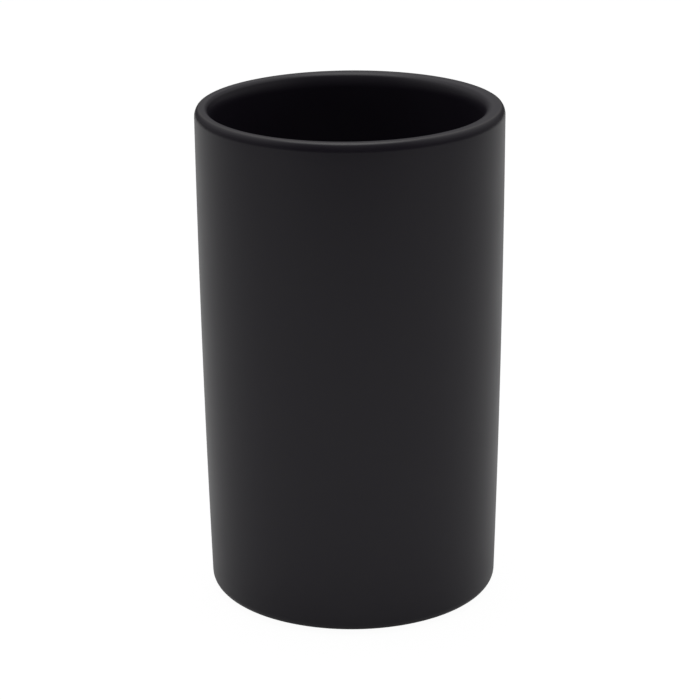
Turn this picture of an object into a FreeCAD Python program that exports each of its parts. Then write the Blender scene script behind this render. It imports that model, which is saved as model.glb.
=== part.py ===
import FreeCAD, Part
import math
import os

import Sketcher

# Bathroom tumbler: a cast ceramic cup that stands on four stick-on bumper feet.
# Millimetres, +Z up, origin on the axis of the cup at the level of the feet's lower faces.

# Driving dimensions
SIZES = {
    # Outer form of the ceramic body
    "rim_diameter": "70",
    "body_height": "115.1",
    "wall_draw": "1.55",
    "base_round": "2",
    # Lip: a side that leans in from the wall, a round crest, and a land that falls to a soft inner edge
    "rim_wall": "3.65",
    "lip_drop": "2",
    "lip_lean": "0.1",
    "lip_crest_round": "1.2",
    "lip_fall": "0.05",
    "lip_inner_round": "1.4",
    # Inside
    "wall_gain": "0.8",
    "floor_thickness": "4.5",
    "floor_cove": "6",
    # Foot ring and the recess inside it
    "ring_width": "4.2",
    "ring_round": "0.4",
    "recess_cove": "0.5",
    # Bumper feet and the adhesive discs that hold them
    "foot_diameter": "8",
    "foot_height": "2.2",
    "foot_round": "0.8",
    "foot_stand": "0.7",
    "foot_clearance": "1.2",
    "tape_thickness": "0.2",
    "tape_margin": "0.3",
}

# Feet by the side they stand on, with their bearing about the axis in degrees
FEET = {"front": 270, "right": 0, "back": 90, "left": 180}

# How a sketch counts the ends and the centre of a curve, and its own axes and origin
START, END, CENTRE = range(1, 4)
LEVEL_AXIS, UPRIGHT_AXIS = range(-1, -3, -1)
ORIGIN = LEVEL_AXIS

doc = FreeCAD.newDocument("bathroom_tumbler")
sheet = doc.addObject("Spreadsheet::Sheet", "Sizes")
for row, (alias, number) in enumerate(SIZES.items(), start=1):
    sheet.set(f"A{row}", alias)
    sheet.set(f"B{row}", number)
    sheet.setAlias(f"B{row}", alias)
doc.recompute()


class Length:
    """A length of the tumbler: its value, and the formula that ties it to the sheet."""

    def __init__(self, value, formula):
        self.value = value
        self.formula = formula

    def __add__(self, other):
        return Length(self.value + other.value, f"({self.formula} + {other.formula})")

    def __sub__(self, other):
        return Length(self.value - other.value, f"({self.formula} - {other.formula})")

    def half(self):
        return Length(self.value / 2, f"({self.formula} / 2)")


def size(alias):
    return Length(float(sheet.get(alias)), f"Sizes.{alias}")


# Radii and heights that follow, with heights above the foot ring's lower face
ground = Length(0, "0")
rim_radius = size("rim_diameter").half()
rim_spring = size("body_height") - size("lip_drop")
crest_radius = rim_radius - size("lip_lean") - size("lip_crest_round")
crest_level = size("body_height") - size("lip_crest_round")
mouth_radius = rim_radius - size("rim_wall")
mouth_height = size("body_height") - size("lip_fall") - size("lip_inner_round")
base_radius = rim_radius - size("wall_draw")
recess_radius = base_radius - size("base_round") - size("ring_width")
recess_depth = size("foot_height") + size("tape_thickness") - size("foot_stand")
floor_radius = mouth_radius - size("wall_draw") - size("wall_gain")
floor_height = recess_depth + size("floor_thickness")
foot_radius = size("foot_diameter").half()
foot_reach = recess_radius - size("recess_cove") - size("foot_clearance") - foot_radius


def new_body(name):
    body = doc.addObject("PartDesign::Body", name)
    body.Label = name
    return body


def new_sketch(body, name, role):
    """A sketch on the origin plane of its own body that has this role."""
    sketch = body.newObject("Sketcher::SketchObject", name)
    plane = next(item for item in body.Origin.OriginFeatures if item.Role == role)
    sketch.AttachmentSupport = [(plane, "")]
    sketch.MapMode = "FlatFace"
    return sketch


def drive(sketch, name, length, constraint):
    """Add a dimension to a sketch and tie it to the sheet."""
    sketch.renameConstraint(sketch.addConstraint(constraint), name)
    sketch.setExpression(f"Constraints.{name}", length.formula)


def point(across, up):
    return FreeCAD.Vector(across.value, up.value, 0)


def add_line(sketch, first, last):
    return sketch.addGeometry(Part.LineSegment(first, last))


def add_arc(sketch, centre, first, last):
    """An arc that turns anticlockwise from its first point to its last."""
    circle = Part.Circle(centre, FreeCAD.Vector(0, 0, 1), centre.distanceToPoint(first))
    angles = [math.atan2(end.y - centre.y, end.x - centre.x) for end in (first, last)]
    return sketch.addGeometry(Part.ArcOfCircle(circle, *angles))


def add_wall(sketch, foot, top):
    """A wall line that leaves its top end upright and draws in on one long arc to its foot."""
    draw = top.x - foot.x
    rise = top.y - foot.y
    radius = (draw**2 + rise**2) / (2 * draw)
    return add_arc(sketch, FreeCAD.Vector(top.x - radius, top.y, 0), foot, top)


def add_corner(sketch, corner, fillet_size):
    """A quarter arc that turns from level to upright in an outer corner on the right."""
    reach = fillet_size.value
    centre = FreeCAD.Vector(corner.x - reach, corner.y + reach, 0)
    level_end = FreeCAD.Vector(centre.x, corner.y, 0)
    upright_end = FreeCAD.Vector(corner.x, centre.y, 0)
    return add_arc(sketch, centre, level_end, upright_end), level_end, upright_end


def add_lip(sketch, spring, mouth):
    """The lip's leaning side, its crest, the land that falls towards the mouth and its inner edge."""
    lean_in = size("lip_lean").value
    crest_round = size("lip_crest_round").value
    edge_round = size("lip_inner_round").value
    crest_centre = point(crest_radius, crest_level)
    edge_centre = mouth + FreeCAD.Vector(edge_round, 0, 0)
    inset = spring.x - crest_centre.x
    rise = crest_centre.y - spring.y
    side_radius = (inset**2 + rise**2 - crest_round**2) / (2 * lean_in)
    side_centre = spring - FreeCAD.Vector(side_radius, 0, 0)
    lean = math.atan2(rise, side_radius - inset)
    side_end = crest_centre + FreeCAD.Vector(math.cos(lean), math.sin(lean), 0) * crest_round
    reach = crest_centre - edge_centre
    fall = math.atan2(reach.y, reach.x) + math.asin((crest_round - edge_round) / reach.Length)
    land_normal = FreeCAD.Vector(-math.sin(fall), math.cos(fall), 0)
    land_start = crest_centre + land_normal * crest_round
    land_end = edge_centre + land_normal * edge_round
    side = add_arc(sketch, side_centre, spring, side_end)
    crest = add_arc(sketch, crest_centre, side_end, land_start)
    land = add_line(sketch, land_start, land_end)
    edge = add_arc(sketch, edge_centre, land_end, mouth)
    return side, crest, land, edge


def draw_section(sketch):
    """Half section of the cup: recess, foot ring, outer wall, lip, inner wall and floor."""
    recess_middle = point(ground, recess_depth)
    recess_edge = point(recess_radius, recess_depth)
    ring_edge = point(recess_radius, ground)
    spring = point(rim_radius, rim_spring)
    mouth = point(mouth_radius, mouth_height)
    floor_middle = point(ground, floor_height)

    recess = add_line(sketch, recess_middle, recess_edge)
    ring_side = add_line(sketch, recess_edge, ring_edge)
    base_corner = point(base_radius, ground)
    base_round, ring_end, wall_foot = add_corner(sketch, base_corner, size("base_round"))
    ring_land = add_line(sketch, ring_edge, ring_end)
    outer_wall = add_wall(sketch, wall_foot, spring)
    lip_side, lip_crest, lip_land, lip_edge = add_lip(sketch, spring, mouth)
    floor_corner = point(floor_radius, floor_height)
    floor_cove, floor_end, inner_foot = add_corner(sketch, floor_corner, size("floor_cove"))
    inner_wall = add_wall(sketch, inner_foot, mouth)
    floor = add_line(sketch, floor_end, floor_middle)
    axis = add_line(sketch, floor_middle, recess_middle)

    corners = (
        (recess, END, ring_side, START),
        (ring_side, END, ring_land, START),
        (floor, END, axis, START),
        (axis, END, recess, START),
    )
    for corner in corners:
        sketch.addConstraint(Sketcher.Constraint("Coincident", *corner))
    smooth_joints = (
        (ring_land, END, base_round, START),
        (base_round, END, outer_wall, START),
        (outer_wall, END, lip_side, START),
        (lip_side, END, lip_crest, START),
        (lip_crest, END, lip_land, START),
        (lip_land, END, lip_edge, START),
        (lip_edge, END, inner_wall, END),
        (inner_wall, START, floor_cove, END),
        (floor_cove, START, floor, START),
    )
    for joint in smooth_joints:
        sketch.addConstraint(Sketcher.Constraint("Tangent", *joint))
    for level_line in (recess, ring_land, floor):
        sketch.addConstraint(Sketcher.Constraint("Horizontal", level_line))
    sketch.addConstraint(Sketcher.Constraint("Vertical", ring_side))
    sketch.addConstraint(Sketcher.Constraint("PointOnObject", ring_land, START, LEVEL_AXIS))
    for end in (START, END):
        sketch.addConstraint(Sketcher.Constraint("PointOnObject", axis, end, UPRIGHT_AXIS))
    for arc, end in ((lip_side, START), (inner_wall, END)):
        sketch.addConstraint(Sketcher.Constraint("Horizontal", arc, CENTRE, arc, end))

    across = (
        ("recess_radius", recess_radius, recess, END),
        ("base_radius", base_radius, outer_wall, START),
        ("rim_radius", rim_radius, outer_wall, END),
        ("crest_radius", crest_radius, lip_crest, CENTRE),
        ("mouth_radius", mouth_radius, inner_wall, END),
        ("floor_radius", floor_radius, inner_wall, START),
    )
    for name, length, line, end in across:
        ends = (ORIGIN, START, line, end, length.value)
        drive(sketch, name, length, Sketcher.Constraint("DistanceX", *ends))
    upward = (
        ("recess_depth", recess_depth, recess, END),
        ("rim_spring", rim_spring, outer_wall, END),
        ("crest_level", crest_level, lip_crest, CENTRE),
        ("mouth_height", mouth_height, inner_wall, END),
        ("floor_height", floor_height, floor, START),
    )
    for name, length, line, end in upward:
        ends = (ORIGIN, START, line, end, length.value)
        drive(sketch, name, length, Sketcher.Constraint("DistanceY", *ends))
    radii = (
        ("base_round", base_round),
        ("lip_crest_round", lip_crest),
        ("lip_inner_round", lip_edge),
        ("floor_cove", floor_cove),
    )
    for name, arc in radii:
        length = size(name)
        drive(sketch, name, length, Sketcher.Constraint("Radius", arc, length.value))


def round_ring(body, base, name, radius, height, fillet_size):
    """Round the circular edge of a turned feature that lies at a radius and a height."""
    rings = {}
    for number, edge in enumerate(base.Shape.Edges, start=1):
        if isinstance(edge.Curve, Part.Circle) and edge.isClosed():
            miss = abs(edge.Curve.Radius - radius.value) + abs(edge.Curve.Center.z - height.value)
            rings[miss] = f"Edge{number}"
    fillet = body.newObject("PartDesign::Fillet", name)
    fillet.Base = (base, [rings[min(rings)]])
    fillet.setExpression("Radius", fillet_size.formula)
    doc.recompute()
    return fillet


def make_tumbler_body():
    """Ceramic shell turned from its section, with its edges and corners rounded."""
    body = new_body("tumbler_body")
    sketch = new_sketch(body, "WallSection", "XZ_Plane")
    draw_section(sketch)
    feature = body.newObject("PartDesign::Revolution", "TurnedWall")
    feature.Profile = sketch
    feature.ReferenceAxis = (sketch, ["V_Axis"])
    feature.Angle = 360
    doc.recompute()
    rounds = (
        ("RingRound", recess_radius, ground, size("ring_round")),
        ("RecessCove", recess_radius, recess_depth, size("recess_cove")),
    )
    for name, radius, height, fillet_size in rounds:
        feature = round_ring(body, feature, name, radius, height, fillet_size)
    body.setExpression("Placement.Base.z", size("foot_stand").formula)


def make_disc(name, radius, thickness):
    """Body with one round disc, its lower face on the body's own origin."""
    body = new_body(name)
    sketch = new_sketch(body, "Outline", "XY_Plane")
    circle = Part.Circle(point(ground, ground), FreeCAD.Vector(0, 0, 1), radius.value)
    outline = sketch.addGeometry(circle)
    sketch.addConstraint(Sketcher.Constraint("Coincident", outline, CENTRE, ORIGIN, START))
    drive(sketch, "radius", radius, Sketcher.Constraint("Radius", outline, radius.value))
    disc = body.newObject("PartDesign::Pad", "Disc")
    disc.Profile = sketch
    disc.setExpression("Length", thickness.formula)
    doc.recompute()
    return body, disc


def seat(body, bearing, height):
    """Place a body on the circle of the feet, on a bearing and at a height."""
    body.setExpression("Placement.Base.x", f"{foot_reach.formula} * cos({bearing} deg)")
    body.setExpression("Placement.Base.y", f"{foot_reach.formula} * sin({bearing} deg)")
    body.setExpression("Placement.Base.z", height.formula)


def make_foot(side, bearing):
    """Bumper foot, with its lower edge rounded, and the adhesive disc above it."""
    foot, disc = make_disc(f"foot_{side}", foot_radius, size("foot_height"))
    round_ring(foot, disc, "LowerRound", foot_radius, ground, size("foot_round"))
    seat(foot, bearing, ground)
    tape_radius = foot_radius - size("tape_margin")
    tape, _ = make_disc(f"foot_tape_{side}", tape_radius, size("tape_thickness"))
    seat(tape, bearing, size("foot_height"))


make_tumbler_body()
for foot_side, foot_bearing in FEET.items():
    make_foot(foot_side, foot_bearing)
doc.recompute()

for item in doc.Objects:
    if "Invalid" in item.State or "Error" in item.State:
        raise RuntimeError(f"{item.Name} did not build: {item.State}")
bodies = doc.findObjects("PartDesign::Body")
for solid in bodies:
    if solid.Shape.isNull() or not solid.Shape.isValid():
        raise RuntimeError(f"{solid.Label} has no valid shape")

os.makedirs("parts", exist_ok=True)
for solid in bodies:
    solid.Shape.exportStep(f"parts/{solid.Label}.step")
    print(f"{solid.Label}: {solid.Shape.Volume:.1f} mm3, {solid.Shape.BoundBox}")
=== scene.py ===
import math

import bmesh
import bpy
from mathutils import Matrix, Quaternion, Vector


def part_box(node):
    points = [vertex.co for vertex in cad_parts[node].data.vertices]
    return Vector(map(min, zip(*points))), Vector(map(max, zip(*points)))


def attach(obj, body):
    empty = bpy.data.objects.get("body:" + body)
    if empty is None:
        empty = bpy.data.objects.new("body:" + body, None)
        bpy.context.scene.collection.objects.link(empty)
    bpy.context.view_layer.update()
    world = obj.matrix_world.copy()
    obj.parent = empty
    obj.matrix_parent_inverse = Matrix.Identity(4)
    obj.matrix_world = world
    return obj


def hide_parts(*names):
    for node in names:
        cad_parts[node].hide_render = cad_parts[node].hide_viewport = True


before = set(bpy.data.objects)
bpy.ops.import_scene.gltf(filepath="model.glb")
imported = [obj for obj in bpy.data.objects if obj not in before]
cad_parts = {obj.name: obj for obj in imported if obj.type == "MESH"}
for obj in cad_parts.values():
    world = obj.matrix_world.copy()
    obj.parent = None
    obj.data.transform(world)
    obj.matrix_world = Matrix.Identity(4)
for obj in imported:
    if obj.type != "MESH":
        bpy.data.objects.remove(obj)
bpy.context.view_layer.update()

# Bathroom tumbler in a satin black glaze, on four bumper feet.
# Metres, +Z up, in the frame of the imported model.
MM = 0.001

# What the frame gives: the body's crest and foot ring, and the recess that the feet stick to
body_low, body_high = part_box("tumbler_body")
tape_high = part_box("foot_tape_front")[1]
CREST_HEIGHT = body_high.z
RING_HEIGHT = body_low.z
RECESS_HEIGHT = tape_high.z
FOOT_SIDES = ("front", "right", "back", "left")

# Outer wall, a little fuller than the solid's
WALL_SWELL = 0.1 * MM
WALL_DRAW = 1.48 * MM
BASE_ROUND = 2.25 * MM
RIM_RADIUS = body_high.x + WALL_SWELL

# Lip, with a tighter crest and a softer inner edge than the solid's
RIM_WALL = 3.75 * MM
LIP_DROP = 2 * MM
LIP_LEAN = 0.34 * MM
LIP_CREST_ROUND = 0.9 * MM
LIP_FALL = 0.05 * MM
LIP_INNER_ROUND = 1.4 * MM
LIP_EASE_START = math.radians(64)
LIP_EASE_ROUND = 6 * MM
SPRING_HEIGHT = CREST_HEIGHT - LIP_DROP
CREST_RADIUS = RIM_RADIUS - LIP_LEAN - LIP_CREST_ROUND
MOUTH_RADIUS = RIM_RADIUS - RIM_WALL
MOUTH_HEIGHT = CREST_HEIGHT - LIP_FALL - LIP_INNER_ROUND

# Inside, which casting left a little to one side of the outer wall
MOUTH_SHIFT = -0.65 * MM
WALL_GAIN = 0.87 * MM
FLOOR_THICKNESS = 4.5 * MM
FLOOR_COVE = 6 * MM
COVE_RADIUS = MOUTH_RADIUS - WALL_DRAW - WALL_GAIN
FLOOR_HEIGHT = RECESS_HEIGHT + FLOOR_THICKNESS

# Foot ring and recess
RING_WIDTH = 4.12 * MM
RING_ROUND = 0.4 * MM
RECESS_COVE = 0.5 * MM
RECESS_RADIUS = RIM_RADIUS - WALL_DRAW - BASE_ROUND - RING_WIDTH

# How finely the body is turned
TURN_STEPS = 256
WALL_STEPS = 32
ROUND_STEPS = 8
LIP_STEPS = 12
MERGE_DISTANCE = 0.001 * MM

# Noise: the span that it mostly keeps to, and its detail where it is fine
NOISE_LOW = 0.3
NOISE_HIGH = 0.7
FINE_DETAIL = 2

# Glaze
GLAZE_COLOURS = ((0.0179, 0.0144, 0.0224, 1), (0.0201, 0.0166, 0.0246, 1))
GLAZE_ROUGHNESS = (0.28, 0.32)
GLAZE_SPECULAR = 0.41
CLOUD_SIZE = 14 * MM
CLOUD_DETAIL = 3
GRAIN_SIZE = 0.5 * MM
GRAIN_DEPTH = 0.0004 * MM

# Painted highlight: a lighter line along the crest of the lip, standing in for the glint of light on its
# edge
CREST_HIGHLIGHT_COLOURS = ((0.044, 0.040, 0.043, 1), (0.056, 0.051, 0.054, 1))
CREST_HIGHLIGHT_OFFSET = 0.3 * LIP_CREST_ROUND
CREST_HIGHLIGHT_RADIUS = CREST_RADIUS + CREST_HIGHLIGHT_OFFSET
CREST_HIGHLIGHT_CORE = 0.08 * MM
CREST_HIGHLIGHT_FADE = 0.22 * MM

# Clay, bare on the foot ring up to a wavering line
CLAY_COLOURS = ((0.46, 0.41, 0.35, 1), (0.60, 0.55, 0.48, 1))
CLAY_ROUGHNESS = 0.85
BARE_HEIGHT = 0.1 * MM
BARE_FADE = 0.03 * MM
BARE_WAVER = 0.05 * MM
WAVER_SIZE = 3 * MM

# Rubber of the feet
RUBBER_COLOURS = ((0.040, 0.040, 0.042, 1), (0.062, 0.062, 0.064, 1))
RUBBER_ROUGHNESS = (0.68, 0.82)
RUBBER_SPECULAR = 0.4
BLOOM_SIZE = 2 * MM
BLOOM_DETAIL = 4
PITTING_SIZE = 0.25 * MM
PITTING_DEPTH = 0.008 * MM

# Adhesive of the discs under the feet
ADHESIVE_COLOURS = ((0.56, 0.54, 0.47, 1), (0.66, 0.64, 0.58, 1))
ADHESIVE_ROUGHNESS = (0.32, 0.46)
BUBBLE_SIZE = 0.4 * MM
BUBBLE_DEPTH = 0.004 * MM

# Camera: a standing view from the front, with a long lens
VIEW_TARGET = Vector((0, 0, 58.25 * MM))
VIEW_DISTANCE = 591.4 * MM
VIEW_ELEVATION = math.radians(19.292)
VIEW_ROLL = math.radians(-0.476)
AIM_ACROSS = -0.392 * MM
AIM_UP = -1.004 * MM
LENS = 130.58
SENSOR = 36

# Floor: grey to light and gloss, and nearly white to the camera
FLOOR_SIDE = 0.65
FLOOR_FRONT = -0.5
FLOOR_BACK = 0.8
FLOOR_GAP = 0.02 * MM
FLOOR_GREY = (0.68, 0.68, 0.68, 1)
FLOOR_GLOW = 1.05
FLOOR_SEEN_SHARE = 0.92
FLOOR_GLOSS_SHARE = 0.095
WHITE = (1, 1, 1, 1)

# Light: a round softbox overhead, in a dome with levels by height, by depth and to the sides
SOFTBOX_WIDTH = 0.6
SOFTBOX_PLACE = (-0.03, 0, 0.8)
SOFTBOX_RADIANCE = 1.05
DOME_LEVELS = ((0, 0.05), (0.22, 0.115), (0.6, 0.42), (0.82, 1.0), (1, 1.5))
DOME_SIDES = ((0, 1), (0.28, 0.6), (0.5, 0.65), (0.8, 1.5), (1, 1.5))
DOME_DEPTH = 0.8
DOME_FRONT = 0.32
DOME_BACK = 1.5
BACKDROP_SEEN_SHARE = 1
BACKDROP_GLOSS_SHARE = 0.02


def new_mesh_object(name, bm):
    """Object at the origin from a finished bmesh, shaded smooth."""
    mesh = bpy.data.meshes.new(name)
    for face in bm.faces:
        face.smooth = True
    bm.to_mesh(mesh)
    bm.free()
    piece = bpy.data.objects.new(name, mesh)
    bpy.context.scene.collection.objects.link(piece)
    return piece


def draw_line(bm, pen, across, up):
    """Extrude the pen's vertex to a place on the half section."""
    tip = bmesh.ops.extrude_vert_indiv(bm, verts=[pen])["verts"][0]
    tip.co = (across, 0, up)
    return tip


def draw_arc(bm, pen, centre, turn, steps):
    """Sweep the pen's vertex about a centre on the half section, anticlockwise where turn is above zero."""
    swept = bmesh.ops.spin(
        bm, geom=[pen], cent=(centre[0], 0, centre[1]), axis=(0, -1, 0), dvec=(0, 0, 0), angle=turn,
        space=Matrix(), steps=steps, use_merge=False, use_normal_flip=False, use_duplicate=False,
    )
    return next(item for item in swept["geom_last"] if isinstance(item, bmesh.types.BMVert))


def draw_wall(bm, pen, draw, corner_round, floor_height):
    """From an upright top, lean in on one long arc and turn through a round to a level floor."""
    across, _, up = pen.co
    rise = up - floor_height - corner_round
    lean = 2 * math.atan(draw / rise)
    radius = rise / math.sin(lean) + corner_round
    pen = draw_arc(bm, pen, (across - radius, up), -lean, WALL_STEPS)
    corner = (pen.co.x - corner_round * math.cos(lean), floor_height + corner_round)
    return draw_arc(bm, pen, corner, lean - math.pi / 2, ROUND_STEPS)


def draw_outside(bm, pen):
    """Outer wall, base round, foot ring and recess, down from where the lip springs."""
    pen = draw_wall(bm, pen, WALL_DRAW, BASE_ROUND, RING_HEIGHT)
    ring_centre = (RECESS_RADIUS + RING_ROUND, RING_HEIGHT + RING_ROUND)
    pen = draw_line(bm, pen, ring_centre[0], RING_HEIGHT)
    pen = draw_arc(bm, pen, ring_centre, -math.pi / 2, ROUND_STEPS)
    cove_centre = (RECESS_RADIUS - RECESS_COVE, RECESS_HEIGHT - RECESS_COVE)
    pen = draw_line(bm, pen, RECESS_RADIUS, cove_centre[1])
    pen = draw_arc(bm, pen, cove_centre, math.pi / 2, ROUND_STEPS)
    draw_line(bm, pen, 0, RECESS_HEIGHT)


def draw_lip(bm, pen):
    """Leaning side, round crest, land that falls to the mouth and inner edge that eases into the wall."""
    crest = Vector((CREST_RADIUS, CREST_HEIGHT - LIP_CREST_ROUND))
    edge = Vector((MOUTH_RADIUS + LIP_INNER_ROUND, MOUTH_HEIGHT))
    inset = RIM_RADIUS - crest.x
    rise = crest.y - SPRING_HEIGHT
    side_radius = (inset**2 + rise**2 - LIP_CREST_ROUND**2) / (2 * LIP_LEAN)
    lean = math.atan2(rise, side_radius - inset)
    reach = crest - edge
    fall = math.atan2(reach.y, reach.x) + math.asin((LIP_CREST_ROUND - LIP_INNER_ROUND) / reach.length)
    land_end = edge + Vector((-math.sin(fall), math.cos(fall))) * LIP_INNER_ROUND
    into_wall = Vector((math.sin(LIP_EASE_START), -math.cos(LIP_EASE_START)))
    ease = edge + into_wall * (LIP_EASE_ROUND - LIP_INNER_ROUND)
    pen = draw_arc(bm, pen, (RIM_RADIUS - side_radius, SPRING_HEIGHT), lean, LIP_STEPS)
    pen = draw_arc(bm, pen, crest, math.pi / 2 + fall - lean, LIP_STEPS)
    pen = draw_line(bm, pen, *land_end)
    pen = draw_arc(bm, pen, edge, LIP_EASE_START - fall, LIP_STEPS)
    return draw_arc(bm, pen, ease, math.pi / 2 - LIP_EASE_START, LIP_STEPS)


def draw_inside(bm, pen):
    """Lip, inner wall, cove and floor, up from where the lip springs."""
    pen = draw_lip(bm, pen)
    pen = draw_wall(bm, pen, pen.co.x - COVE_RADIUS, FLOOR_COVE, FLOOR_HEIGHT)
    draw_line(bm, pen, 0, FLOOR_HEIGHT)


def make_body():
    """Ceramic shell, turned from its half section, with its mouth a little to one side."""
    bm = bmesh.new()
    share = bm.verts.layers.float.new("mouth_share")
    spring = bm.verts.new((RIM_RADIUS, 0, SPRING_HEIGHT))
    draw_outside(bm, spring)
    outside = set(bm.verts)
    draw_inside(bm, spring)
    for vert in set(bm.verts) - outside:
        past_crest = (CREST_RADIUS - vert.co.x) / (CREST_RADIUS - MOUTH_RADIUS)
        vert[share] = min(max(past_crest, 0), 1)
    bmesh.ops.spin(
        bm, geom=bm.verts[:] + bm.edges[:], cent=(0, 0, 0), axis=(0, 0, 1), dvec=(0, 0, 0), angle=math.tau,
        space=Matrix(), steps=TURN_STEPS, use_merge=True, use_normal_flip=False, use_duplicate=False,
    )
    bmesh.ops.remove_doubles(bm, verts=bm.verts[:], dist=MERGE_DISTANCE)
    for vert in bm.verts:
        vert.co.x += MOUTH_SHIFT * vert[share]
    bmesh.ops.recalc_face_normals(bm, faces=bm.faces[:])
    body = new_mesh_object("glazed_body", bm)
    body.data.materials.append(make_glaze())
    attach(body, "root")
    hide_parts("tumbler_body")


def new_material(name):
    """Material with a node tree, and its shader."""
    material = bpy.data.materials.new(name)
    material.use_nodes = True
    return material, material.node_tree, material.node_tree.nodes["Principled BSDF"]


def feed(tree, socket, value):
    """Link another node's output to a socket, or set the socket to a plain value."""
    if isinstance(value, bpy.types.NodeSocket):
        tree.links.new(value, socket)
    else:
        socket.default_value = value


def add_axes(tree, space):
    """X, Y and Z in one of the spaces that texture coordinates come in."""
    coordinates = tree.nodes.new("ShaderNodeTexCoord")
    axes = tree.nodes.new("ShaderNodeSeparateXYZ")
    tree.links.new(coordinates.outputs[space], axes.inputs["Vector"])
    return axes.outputs["X"], axes.outputs["Y"], axes.outputs["Z"]


def add_noise(tree, feature, detail):
    """Noise on the piece's own coordinates, with features of about this size."""
    coordinates = tree.nodes.new("ShaderNodeTexCoord")
    noise = tree.nodes.new("ShaderNodeTexNoise")
    noise.inputs["Scale"].default_value = 1 / feature
    noise.inputs["Detail"].default_value = detail
    tree.links.new(coordinates.outputs["Object"], noise.inputs["Vector"])
    return noise.outputs["Fac"]


def add_ramp(tree, value, colours):
    """Colours that a value runs through, each with its place."""
    ramp = tree.nodes.new("ShaderNodeValToRGB")
    stops = ramp.color_ramp.elements
    while len(stops) < len(colours):
        stops.new(1)
    for stop, (place, colour) in zip(stops, colours):
        stop.position = place
        stop.color = colour
    tree.links.new(value, ramp.inputs["Fac"])
    return ramp.outputs["Color"]


def add_colours(tree, noise, colours):
    """Colours that run from the first to the last with a noise."""
    first, last = colours
    return add_ramp(tree, noise, ((NOISE_LOW, first), (NOISE_HIGH, last)))


def add_levels(tree, value, levels):
    """Grey levels that a value runs through, each with its place."""
    return add_ramp(tree, value, [(place, (level, level, level, 1)) for place, level in levels])


def add_range(tree, value, start, end, low, high):
    """Number that runs from low to high as a value runs from start to end."""
    spread = tree.nodes.new("ShaderNodeMapRange")
    settings = {"From Min": start, "From Max": end, "To Min": low, "To Max": high}
    for name, number in settings.items():
        spread.inputs[name].default_value = number
    tree.links.new(value, spread.inputs["Value"])
    return spread.outputs["Result"]


def add_spread(tree, noise, low, high):
    """Number that runs from low to high with a noise."""
    return add_range(tree, noise, NOISE_LOW, NOISE_HIGH, low, high)


def add_maths(tree, operation, *values):
    """Result of a sum on numbers and on other nodes' outputs."""
    node = tree.nodes.new("ShaderNodeMath")
    node.operation = operation
    for socket, value in zip(node.inputs, values):
        feed(tree, socket, value)
    return node.outputs["Value"]


def add_mix(tree, kind, share, first, last):
    """Colour or number between two others, by a share."""
    mix = tree.nodes.new("ShaderNodeMix")
    mix.data_type = kind
    mix_sockets = [socket for socket in mix.inputs if socket.enabled]
    for socket, value in zip(mix_sockets, (share, first, last)):
        feed(tree, socket, value)
    return next(socket for socket in mix.outputs if socket.enabled)


def add_bump(tree, shader, height, distance):
    """Fine unevenness of a surface."""
    bump = tree.nodes.new("ShaderNodeBump")
    bump.inputs["Distance"].default_value = distance
    tree.links.new(height, bump.inputs["Height"])
    tree.links.new(bump.outputs["Normal"], shader.inputs["Normal"])


def add_glazed_share(tree):
    """One where the glaze covers the body, and zero on the foot ring, which is wiped bare before firing."""
    _, _, up = add_axes(tree, "Object")
    waver = add_spread(tree, add_noise(tree, WAVER_SIZE, FINE_DETAIL), -BARE_WAVER, BARE_WAVER)
    height = add_maths(tree, "ADD", up, waver)
    line = RING_HEIGHT + BARE_HEIGHT
    return add_range(tree, height, line - BARE_FADE, line + BARE_FADE, 0, 1)


def add_crest_highlight_share(tree):
    """One on the line along the crest of the lip where a highlight is painted, and zero off it."""
    across, deep, up = add_axes(tree, "Object")
    squared = add_maths(tree, "MULTIPLY", across, across)
    squared = add_maths(tree, "MULTIPLY_ADD", deep, deep, squared)
    radius = add_maths(tree, "SQRT", squared)
    off_line = add_maths(tree, "ABSOLUTE", add_maths(tree, "SUBTRACT", radius, CREST_HIGHLIGHT_RADIUS))
    near = add_range(tree, off_line, CREST_HIGHLIGHT_CORE, CREST_HIGHLIGHT_CORE + CREST_HIGHLIGHT_FADE, 1, 0)
    on_top = add_range(tree, up, SPRING_HEIGHT, CREST_HEIGHT - LIP_CREST_ROUND, 0, 1)
    return add_maths(tree, "MULTIPLY", near, on_top)


def make_glaze():
    """Satin black glaze with a painted highlight along the crest, and the pale clay bare on the foot ring.
    """
    material, tree, shader = new_material("satin_black_glaze")
    glazed = add_glazed_share(tree)
    cloud = add_noise(tree, CLOUD_SIZE, CLOUD_DETAIL)
    grain = add_noise(tree, GRAIN_SIZE, FINE_DETAIL)
    thick = add_colours(tree, cloud, GLAZE_COLOURS)
    # Painted highlight: a lighter glaze colour for the line along the crest, standing in for the glint on
    # its edge
    crest_highlight = add_colours(tree, cloud, CREST_HIGHLIGHT_COLOURS)
    black = add_mix(tree, "RGBA", add_crest_highlight_share(tree), thick, crest_highlight)
    clay = add_colours(tree, grain, CLAY_COLOURS)
    satin = add_spread(tree, cloud, *GLAZE_ROUGHNESS)
    feed(tree, shader.inputs["Base Color"], add_mix(tree, "RGBA", glazed, clay, black))
    feed(tree, shader.inputs["Roughness"], add_mix(tree, "FLOAT", glazed, CLAY_ROUGHNESS, satin))
    feed(tree, shader.inputs["Specular IOR Level"], GLAZE_SPECULAR)
    add_bump(tree, shader, grain, GRAIN_DEPTH)
    return material


def make_rubber():
    """Dark moulded rubber with a dusty bloom."""
    material, tree, shader = new_material("foot_rubber")
    bloom = add_noise(tree, BLOOM_SIZE, BLOOM_DETAIL)
    feed(tree, shader.inputs["Base Color"], add_colours(tree, bloom, RUBBER_COLOURS))
    feed(tree, shader.inputs["Roughness"], add_spread(tree, bloom, *RUBBER_ROUGHNESS))
    feed(tree, shader.inputs["Specular IOR Level"], RUBBER_SPECULAR)
    add_bump(tree, shader, add_noise(tree, PITTING_SIZE, FINE_DETAIL), PITTING_DEPTH)
    return material


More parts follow.
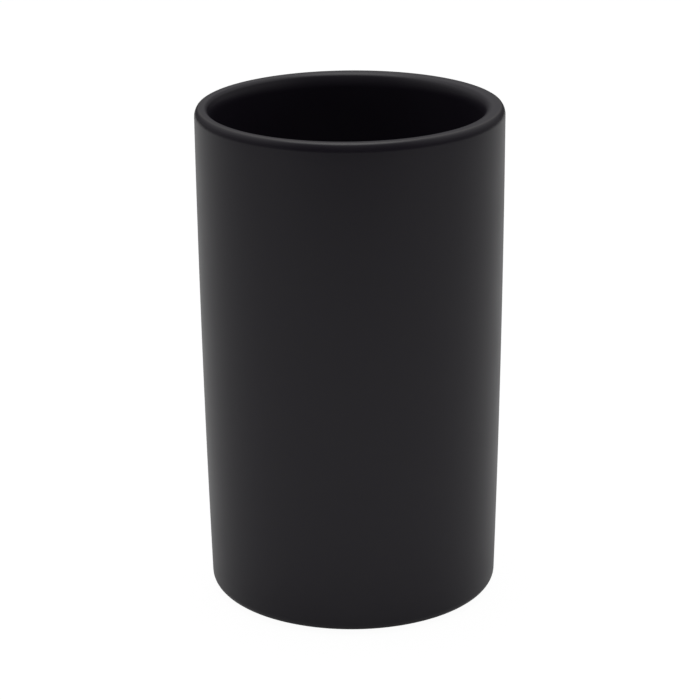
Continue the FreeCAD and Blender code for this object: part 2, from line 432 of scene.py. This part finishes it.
def make_adhesive():
    """Pale tacky film with tiny bubbles."""
    material, tree, shader = new_material("foot_adhesive")
    bubbles = add_noise(tree, BUBBLE_SIZE, FINE_DETAIL)
    feed(tree, shader.inputs["Base Color"], add_colours(tree, bubbles, ADHESIVE_COLOURS))
    feed(tree, shader.inputs["Roughness"], add_spread(tree, bubbles, *ADHESIVE_ROUGHNESS))
    add_bump(tree, shader, bubbles, BUBBLE_DEPTH)
    return material


def finish_feet():
    """Give the bumper feet and their adhesive discs their finishes."""
    rubber = make_rubber()
    adhesive = make_adhesive()
    for side in FOOT_SIDES:
        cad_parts[f"foot_{side}"].material_slots[0].material = rubber
        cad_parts[f"foot_tape_{side}"].material_slots[0].material = adhesive


def add_seen_share(tree, direct_share, reflected_share):
    """Share of plain white that the camera sees, with a share of it in gloss and in glass."""
    path = tree.nodes.new("ShaderNodeLightPath").outputs
    reflected = add_maths(tree, "ADD", path["Is Glossy Ray"], path["Is Transmission Ray"])
    direct = add_maths(tree, "MULTIPLY", path["Is Camera Ray"], direct_share)
    return add_maths(tree, "MULTIPLY_ADD", reflected, reflected_share, direct)


def show_mix(tree, share, first, last, surface):
    """Show a mix of two shaders on a surface, by a share of the last."""
    mix = tree.nodes.new("ShaderNodeMixShader")
    tree.links.new(share, mix.inputs["Fac"])
    tree.links.new(first, mix.inputs[1])
    tree.links.new(last, mix.inputs[2])
    tree.links.new(mix.outputs["Shader"], surface)


def make_floor():
    """Plain pale floor that keeps the object's shadow."""
    bm = bmesh.new()
    bmesh.ops.create_grid(bm, x_segments=1, y_segments=1, size=1)
    bmesh.ops.scale(bm, vec=(FLOOR_SIDE, (FLOOR_BACK - FLOOR_FRONT) / 2, 1), verts=bm.verts[:])
    bmesh.ops.translate(bm, vec=(0, (FLOOR_BACK + FLOOR_FRONT) / 2, -FLOOR_GAP), verts=bm.verts[:])
    floor = new_mesh_object("studio_floor", bm)
    material, tree, shader = new_material("pale_floor")
    shader.inputs["Roughness"].default_value = 1
    shader.inputs["Specular IOR Level"].default_value = 0
    seen = tree.nodes.new("ShaderNodeLightPath").outputs["Is Camera Ray"]
    feed(tree, shader.inputs["Base Color"], add_mix(tree, "RGBA", seen, FLOOR_GREY, WHITE))
    glow = tree.nodes.new("ShaderNodeEmission")
    glow.inputs["Color"].default_value = WHITE
    glow.inputs["Strength"].default_value = FLOOR_GLOW
    share = add_seen_share(tree, FLOOR_SEEN_SHARE, FLOOR_GLOSS_SHARE)
    surface = tree.nodes["Material Output"].inputs["Surface"]
    show_mix(tree, share, shader.outputs["BSDF"], glow.outputs["Emission"], surface)
    floor.data.materials.append(material)


def make_softbox():
    """Round softbox overhead."""
    lamp = bpy.data.lights.new("overhead_softbox", "AREA")
    lamp.shape = "DISK"
    lamp.size = SOFTBOX_WIDTH
    area = math.pi * (SOFTBOX_WIDTH / 2) ** 2
    lamp.energy = SOFTBOX_RADIANCE * math.pi * area
    softbox = bpy.data.objects.new("overhead_softbox", lamp)
    softbox.location = SOFTBOX_PLACE
    softbox.visible_camera = False
    bpy.context.scene.collection.objects.link(softbox)


def make_room():
    """Dome that is bright overhead, dim low down and darker at the front, with a white backdrop."""
    world = bpy.data.worlds.new("studio")
    bpy.context.scene.world = world
    world.use_nodes = True
    tree = world.node_tree
    room = tree.nodes["Background"]
    across, deep, up = add_axes(tree, "Generated")
    depth = add_range(tree, deep, -DOME_DEPTH, DOME_DEPTH, DOME_FRONT, DOME_BACK)
    breadth = add_levels(tree, add_maths(tree, "ABSOLUTE", across), DOME_SIDES)
    feed(tree, room.inputs["Color"], add_levels(tree, up, DOME_LEVELS))
    feed(tree, room.inputs["Strength"], add_maths(tree, "MULTIPLY", depth, breadth))
    backdrop = tree.nodes.new("ShaderNodeBackground")
    backdrop.inputs["Color"].default_value = WHITE
    share = add_seen_share(tree, BACKDROP_SEEN_SHARE, BACKDROP_GLOSS_SHARE)
    surface = tree.nodes["World Output"].inputs["Surface"]
    show_mix(tree, share, room.outputs["Background"], backdrop.outputs["Background"], surface)


def set_camera():
    """Camera at its distance and elevation, aimed a little off the target and rolled a little."""
    camera_data = bpy.data.cameras.new("front_camera")
    camera_data.lens = LENS
    camera_data.sensor_width = SENSOR
    camera = bpy.data.objects.new("front_camera", camera_data)
    back = Vector((0, -math.cos(VIEW_ELEVATION), math.sin(VIEW_ELEVATION)))
    up = Vector((0, math.sin(VIEW_ELEVATION), math.cos(VIEW_ELEVATION)))
    camera.location = VIEW_TARGET + back * VIEW_DISTANCE
    aim = VIEW_TARGET + Vector((AIM_ACROSS, 0, 0)) + up * AIM_UP
    level = (aim - camera.location).to_track_quat("-Z", "Y")
    camera.rotation_mode = "QUATERNION"
    camera.rotation_quaternion = level @ Quaternion((0, 0, 1), VIEW_ROLL)
    bpy.context.scene.collection.objects.link(camera)
    bpy.context.scene.camera = camera


make_body()
finish_feet()
make_floor()
make_softbox()
make_room()
set_camera()
bpy.context.scene.view_settings.view_transform = "Standard"
